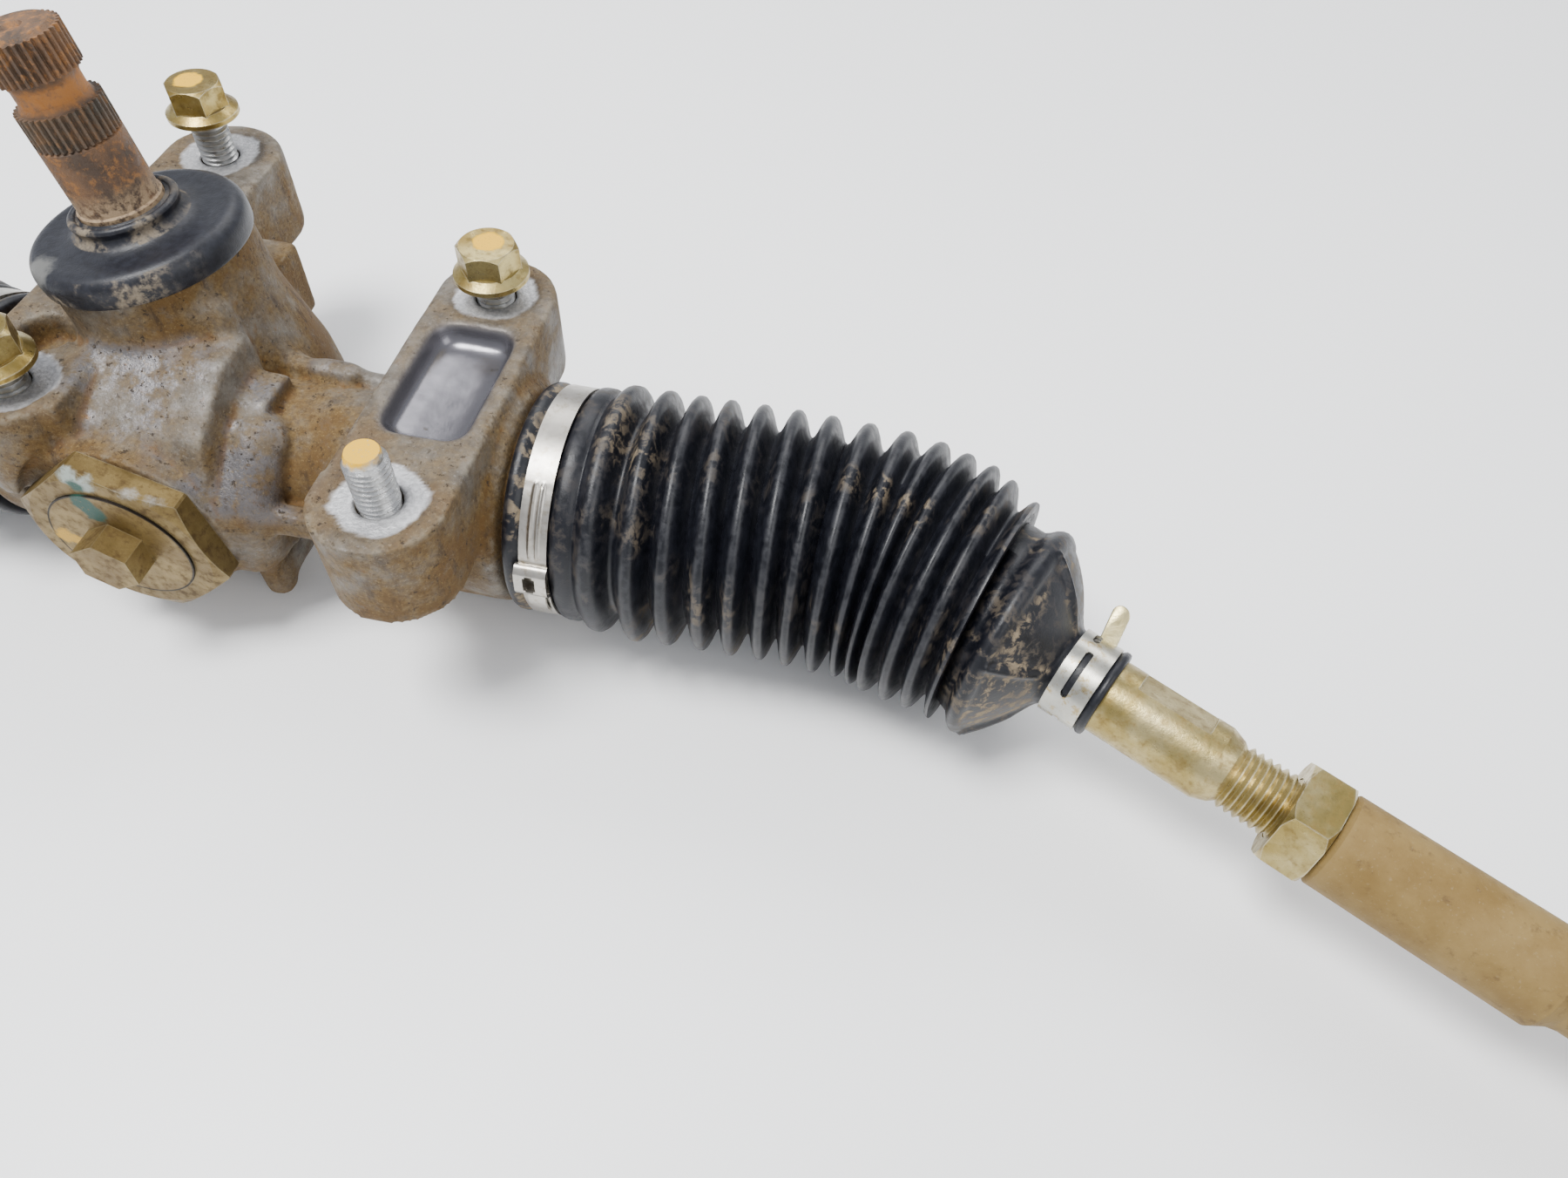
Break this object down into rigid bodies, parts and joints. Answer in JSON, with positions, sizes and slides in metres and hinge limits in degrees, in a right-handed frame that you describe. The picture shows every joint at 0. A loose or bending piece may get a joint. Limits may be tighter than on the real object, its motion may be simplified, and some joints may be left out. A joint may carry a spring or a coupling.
{
  "type": "rack and pinion",
  "caption": "Manual rack and pinion steering gear: cast housing with pinion tower, sliding rack, bellows and articulated tie rods on both ends.",
  "frame": {"origin": "on the rack bar's axis, half way between the two bellows seats of the housing", "axes": "+X along the rack bar, towards the end away from the pinion; +Z normal to the mounting pads, on the input shaft's side; +Y from the rack bar towards the pinion"},
  "size_m": [0.7539, 0.2104, 0.1362],
  "materials": {
    "cast_aluminium": "rough cast, dusty",
    "rusty_steel": "rusted",
    "ground_steel": "ground, greased",
    "bearing_steel": "polished",
    "black_rubber": "satin, dusty",
    "guide_plastic": "moulded",
    "spring_steel": "oiled",
    "passivated_steel": "yellow passivated, worn",
    "yellow_zinc_bolt": "yellow zinc",
    "boot_rubber": "matt, dusty tips",
    "stainless_band": "rolled strip",
    "zinc_clamp": "zinc plated strip",
    "dark_steel": "phosphated",
    "yellow_zinc_rod": "yellow zinc, handled",
    "dusty_forging": "dusty",
    "stud_steel": "machined"
  },
  "bodies": {
    "housing_group": {"housing": "cast_aluminium", "pinion_bearing_outer_race": "bearing_steel", "pinion_lower_bush": "bearing_steel", "retaining_ring": "bearing_steel", "pinion_oil_seal": "black_rubber", "pinion_dust_cap": "black_rubber", "rack_guide": "guide_plastic", "guide_o_ring": "black_rubber", "guide_spring": "spring_steel", "adjuster_plug": "passivated_steel", "adjuster_lock_nut": "passivated_steel", "rack_bush": "guide_plastic", "bolt_near_right": "yellow_zinc_bolt", "bolt_far_right": "yellow_zinc_bolt", "bolt_near_left": "yellow_zinc_bolt", "bolt_far_left": "yellow_zinc_bolt", "boot_right": "boot_rubber", "boot_left": "boot_rubber", "large_clamp_right": "stainless_band", "large_clamp_left": "stainless_band"},
    "pinion": {"pinion_shaft": "rusty_steel", "pinion_bearing_inner_race": "bearing_steel", "pinion_bearing_balls": "bearing_steel"},
    "rack": {"rack_bar": "ground_steel", "inner_socket_right": "dark_steel", "inner_socket_left": "dark_steel", "tab_washer_right": "dark_steel", "tab_washer_left": "dark_steel"},
    "ball_seat_right_body": {"ball_seat_right": "guide_plastic"},
    "tie_rod_right_body": {"tie_rod_right": "yellow_zinc_rod", "jam_nut_right": "yellow_zinc_rod", "rod_end_right": "dusty_forging", "rod_end_plug_right": "dusty_forging", "small_clamp_right": "zinc_clamp", "stud_boot_right": "boot_rubber"},
    "outer_seat_right_body": {"outer_ball_seat_right": "guide_plastic"},
    "stud_right_body": {"ball_stud_right": "stud_steel", "castle_nut_right": "yellow_zinc_bolt", "cotter_pin_right": "spring_steel"},
    "ball_seat_left_body": {"ball_seat_left": "guide_plastic"},
    "tie_rod_left_body": {"tie_rod_left": "yellow_zinc_rod", "jam_nut_left": "yellow_zinc_rod", "rod_end_left": "dusty_forging", "rod_end_plug_left": "dusty_forging", "small_clamp_left": "zinc_clamp", "stud_boot_left": "boot_rubber"},
    "outer_seat_left_body": {"outer_ball_seat_left": "guide_plastic"},
    "stud_left_body": {"ball_stud_left": "stud_steel", "castle_nut_left": "yellow_zinc_bolt", "cotter_pin_left": "spring_steel"}
  },
  "joints": [
    {"name": "rack_slide", "type": "slide", "parent": "housing_group", "child": "rack", "axis": [1, 0, 0], "range_m": [-0.045, 0.045], "deforming": ["boot_right", "boot_left"]},
    {"name": "pinion_spin", "type": "hinge", "parent": "housing_group", "child": "pinion", "pos_m": [-0.0228, 0.01795, 0], "axis": [-0.1564, 0, 0.9877], "range_deg": [-269.98, 269.98]},
    {"name": "inner_swing_right", "type": "hinge", "parent": "rack", "child": "ball_seat_right_body", "pos_m": [0.162, 0, 0], "axis": [0, 0, 1], "range_deg": [-5, 59], "deforming": ["boot_right"]},
    {"name": "inner_tilt_right", "type": "hinge", "parent": "ball_seat_right_body", "child": "tie_rod_right_body", "pos_m": [0.162, 0, 0], "axis": [0.454, 0.891, 0], "range_deg": [-17, 13], "deforming": ["boot_right"]},
    {"name": "outer_tilt_right", "type": "hinge", "parent": "tie_rod_right_body", "child": "outer_seat_right_body", "pos_m": [0.35078, -0.09619, -0.0074], "axis": [0.454, 0.891, 0], "range_deg": [-18, 18], "deforming": ["stud_boot_right"]},
    {"name": "outer_turn_right", "type": "hinge", "parent": "outer_seat_right_body", "child": "stud_right_body", "pos_m": [0.35078, -0.09619, -0.0074], "axis": [0, 0, 1], "range_deg": [-45, 45], "deforming": ["stud_boot_right"]},
    {"name": "inner_swing_left", "type": "hinge", "parent": "rack", "child": "ball_seat_left_body", "pos_m": [-0.162, 0, 0], "axis": [0, 0, 1], "range_deg": [-16, 48], "deforming": ["boot_left"]},
    {"name": "inner_tilt_left", "type": "hinge", "parent": "ball_seat_left_body", "child": "tie_rod_left_body", "pos_m": [-0.162, 0, 0], "axis": [-0.2756, -0.9613, 0], "range_deg": [-17, 13], "deforming": ["boot_left"]},
    {"name": "outer_tilt_left", "type": "hinge", "parent": "tie_rod_left_body", "child": "outer_seat_left_body", "pos_m": [-0.36566, 0.0584, -0.0074], "axis": [-0.2756, -0.9613, 0], "range_deg": [-18, 18], "deforming": ["stud_boot_left"]},
    {"name": "outer_turn_left", "type": "hinge", "parent": "outer_seat_left_body", "child": "stud_left_body", "pos_m": [-0.36566, 0.0584, -0.0074], "axis": [0, 0, 1], "range_deg": [-45, 45], "deforming": ["stud_boot_left"]}
  ],
  "couplings": [
    {"joint": "pinion_spin", "follows": "rack_slide", "rad_per_m": 104.52}
  ]
}
